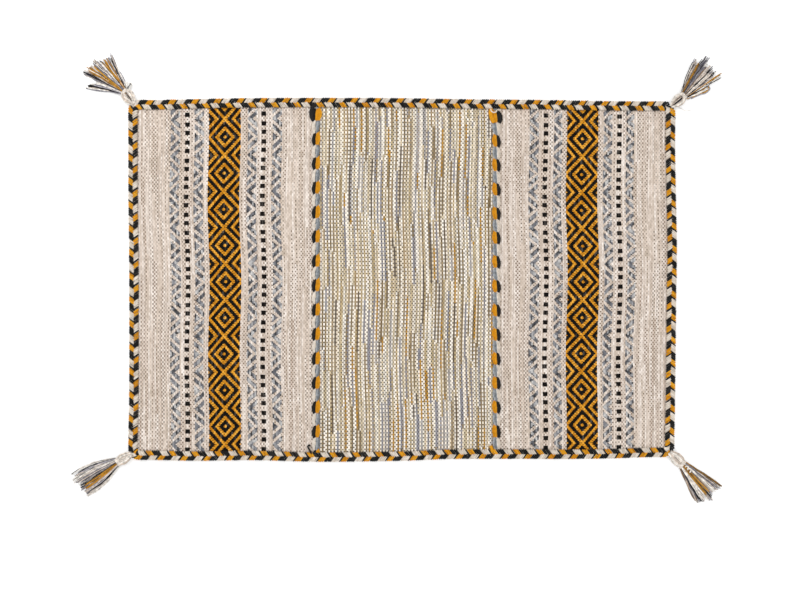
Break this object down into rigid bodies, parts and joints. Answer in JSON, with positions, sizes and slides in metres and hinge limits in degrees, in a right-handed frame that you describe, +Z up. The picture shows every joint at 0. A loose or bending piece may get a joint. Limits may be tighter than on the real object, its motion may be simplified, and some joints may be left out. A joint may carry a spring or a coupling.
{
  "type": "woven rug",
  "caption": "Flat woven rug of cream and striated panels with diamond and zigzag bands, twined joins, a plaited edge and corner tassels.",
  "frame": {"origin": "middle of the centre panel's underside, on the surface that the rug lies on", "axes": "+X along the rug's length, across the three panels; +Y across its width, along the weft, towards the back edge; +Z up, out of the patterned face"},
  "size_m": [1.8076, 1.2564, 0.021],
  "materials": {
    "cream_cloth": "matt undyed cotton weft with mustard, black and grey pattern bands",
    "striated_cloth": "matt cotton weft, striated cream, grey and mustard",
    "joining_cord": "matt twined cotton cord, mustard with black and grey with cream",
    "plait_yarn": "matt three-strand cotton plait, black, mustard and cream",
    "tassel_yarn": "matt loose cotton yarn, mostly cream with mustard, grey and charcoal"
  },
  "bodies": {
    "root": {"left_panel": "cream_cloth", "centre_panel": "striated_cloth", "right_panel": "cream_cloth", "left_seam_cord": "joining_cord", "right_seam_cord": "joining_cord", "back_plait": "plait_yarn", "left_plait": "plait_yarn", "front_plait": "plait_yarn", "right_plait": "plait_yarn", "tassel_back_left": "tassel_yarn", "tassel_front_left": "tassel_yarn", "tassel_back_right": "tassel_yarn", "tassel_front_right": "tassel_yarn"}
  },
  "joints": []
}
